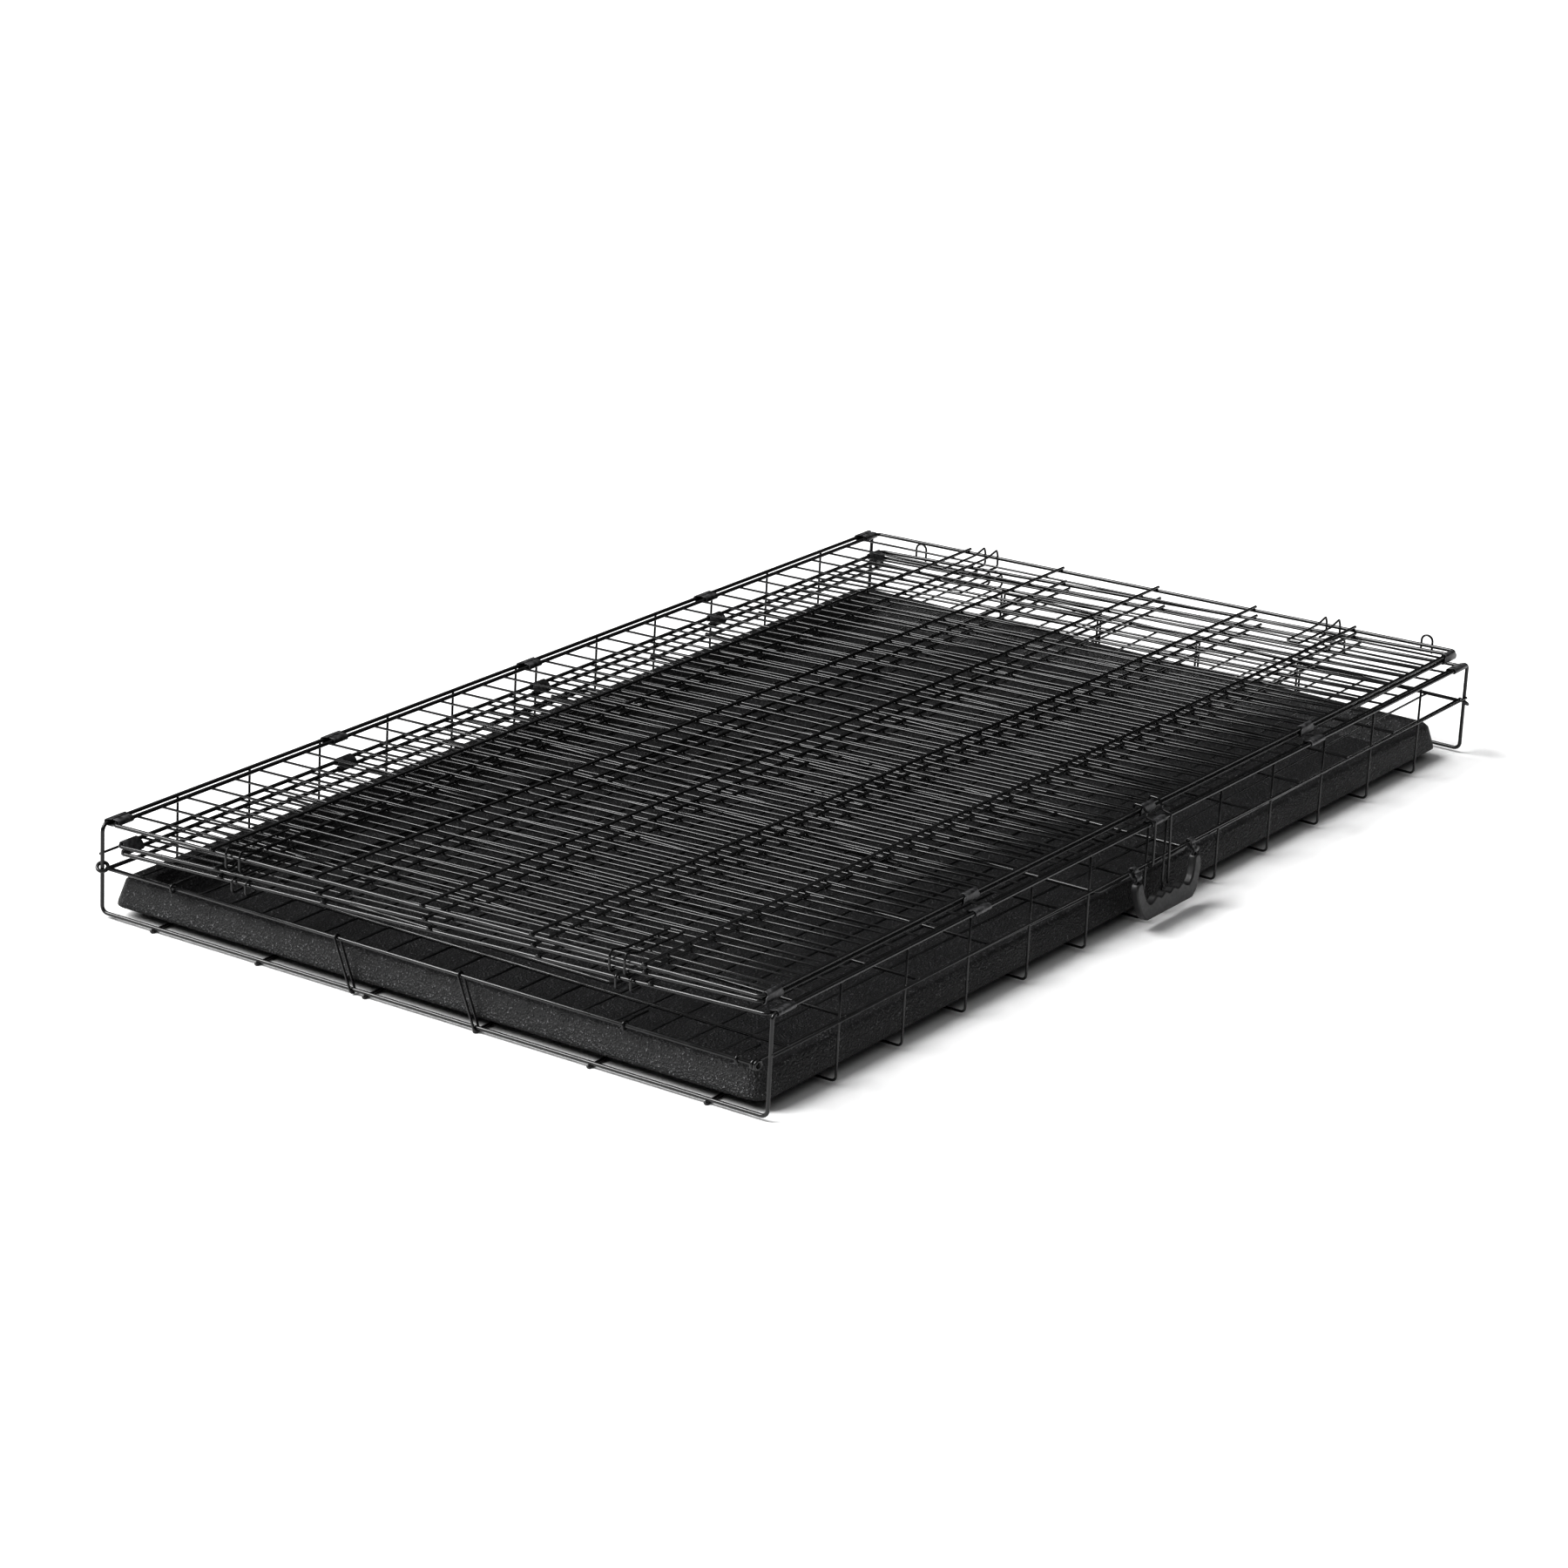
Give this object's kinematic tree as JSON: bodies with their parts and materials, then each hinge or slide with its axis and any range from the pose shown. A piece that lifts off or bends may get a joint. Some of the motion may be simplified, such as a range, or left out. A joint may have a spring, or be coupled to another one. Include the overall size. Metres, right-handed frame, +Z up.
{
  "type": "folding wire dog crate",
  "caption": "Flat-folded wire dog crate: wire grid base with lips, hinged wall panels stacked on a shallow plastic tray, carry handle on one long side.",
  "frame": {"origin": "centre of the footprint at the lowest point, the underside of the floor wires", "axes": "+X along the long side towards the far end, +Y across towards the side without the handle, +Z up"},
  "size_m": [1.2322, 0.7214, 0.1131],
  "materials": {
    "wire": "satin black powder coat",
    "clip": "black coated folded sheet",
    "tray": "black plastic with a dull speckled grain",
    "handle": "smooth satin black plastic"
  },
  "bodies": {
    "base": {"base_floor": "wire", "base_lip_left": "wire", "base_lip_right": "wire", "clip_lip_right_1": "clip", "clip_lip_right_2": "clip", "clip_lip_right_3": "clip", "clip_lip_right_4": "clip", "clip_lip_right_5": "clip", "clip_lip_left_1": "clip", "clip_lip_left_2": "clip", "clip_lip_left_3": "clip", "clip_lip_left_4": "clip", "clip_lip_left_5": "clip", "near_link_1": "wire", "near_link_2": "wire", "far_link_1": "wire", "far_link_2": "wire", "far_link_3": "wire", "far_link_4": "wire"},
    "tray": {"tray": "tray"},
    "lower_wall": {"lower_wall": "wire", "lower_wall_hook_1": "wire", "lower_wall_hook_2": "wire", "lower_wall_hook_3": "wire", "lower_wall_hook_4": "wire", "clip_roof_left_1": "clip", "clip_roof_left_2": "clip", "clip_roof_left_3": "clip", "clip_roof_left_4": "clip", "clip_roof_left_5": "clip"},
    "roof": {"roof": "wire", "roof_loop_1": "wire", "roof_loop_2": "wire", "clip_roof_right_1": "clip", "clip_roof_right_2": "clip", "clip_roof_right_3": "clip", "clip_roof_right_4": "clip", "clip_roof_right_5": "clip"},
    "upper_wall": {"upper_wall": "wire", "upper_wall_hook_1": "wire", "upper_wall_hook_2": "wire", "upper_wall_hook_3": "wire", "upper_wall_hook_4": "wire"},
    "near_end_panel": {"near_end_panel_sill": "wire", "near_end_panel_header": "wire", "near_end_panel_left": "wire", "near_end_panel_right": "wire"},
    "far_end_panel": {"far_end_panel": "wire"},
    "door": {"door": "wire"},
    "door_bolt_1": {"door_bolt_1": "wire"},
    "door_bolt_2": {"door_bolt_2": "wire"},
    "handle": {"handle": "handle", "handle_clamp_1": "clip", "handle_clamp_2": "clip"},
    "fold_lock": {"fold_lock": "wire"}
  },
  "joints": [
    {"name": "wall_raise", "type": "hinge", "parent": "base", "child": "lower_wall", "pos_m": [0, -0.33887, 0.09], "axis": [1, 0, 0], "range_deg": [0, 91.25]},
    {"name": "roof_unfold", "type": "hinge", "parent": "lower_wall", "child": "roof", "pos_m": [0, 0.33963, 0.068], "axis": [-1, 0, 0], "range_deg": [0, 268.42]},
    {"name": "upper_wall_unfold", "type": "hinge", "parent": "roof", "child": "upper_wall", "pos_m": [0, -0.33237, 0.1035], "axis": [1, 0, 0], "range_deg": [0, 89.22]},
    {"name": "near_panel_lift", "type": "hinge", "parent": "base", "child": "near_end_panel", "pos_m": [-0.6103, 0.00463, 0.046], "axis": [0, -1, 0], "range_deg": [0, 0.18]},
    {"name": "far_panel_lift", "type": "hinge", "parent": "base", "child": "far_end_panel", "pos_m": [0.6103, 0.00463, 0.0535], "axis": [0, 1, 0], "range_deg": [0, 0.45]},
    {"name": "door_swing", "type": "hinge", "parent": "near_end_panel", "child": "door", "pos_m": [-0.3453, -0.15161, 0.0496], "axis": [0.9999, 0, -0.0114], "range_deg": [0, 0.8]},
    {"name": "door_bolt_1_slide", "type": "slide", "parent": "door", "child": "door_bolt_1", "axis": [0, 1, 0], "range_m": [-0.02, 0.01]},
    {"name": "door_bolt_2_slide", "type": "slide", "parent": "door", "child": "door_bolt_2", "axis": [0, 1, 0], "range_m": [-0.02, 0.01]},
    {"name": "tray_slide", "type": "slide", "parent": "base", "child": "tray", "axis": [1, 0, 0], "range_m": [0, 0.018]},
    {"name": "handle_swing", "type": "hinge", "parent": "base", "child": "handle", "pos_m": [0.008, -0.34787, 0.0577], "axis": [-1, 0, 0], "range_deg": [0, 115]},
    {"name": "fold_lock_swing", "type": "hinge", "parent": "roof", "child": "fold_lock", "pos_m": [0, -0.33237, 0.099], "axis": [-1, 0, 0], "range_deg": [0, 100]}
  ],
  "couplings": [
    {"joint": "roof_unfold", "follows": "wall_raise", "ratio": 2.9414},
    {"joint": "upper_wall_unfold", "follows": "wall_raise", "ratio": 0.97763}
  ]
}
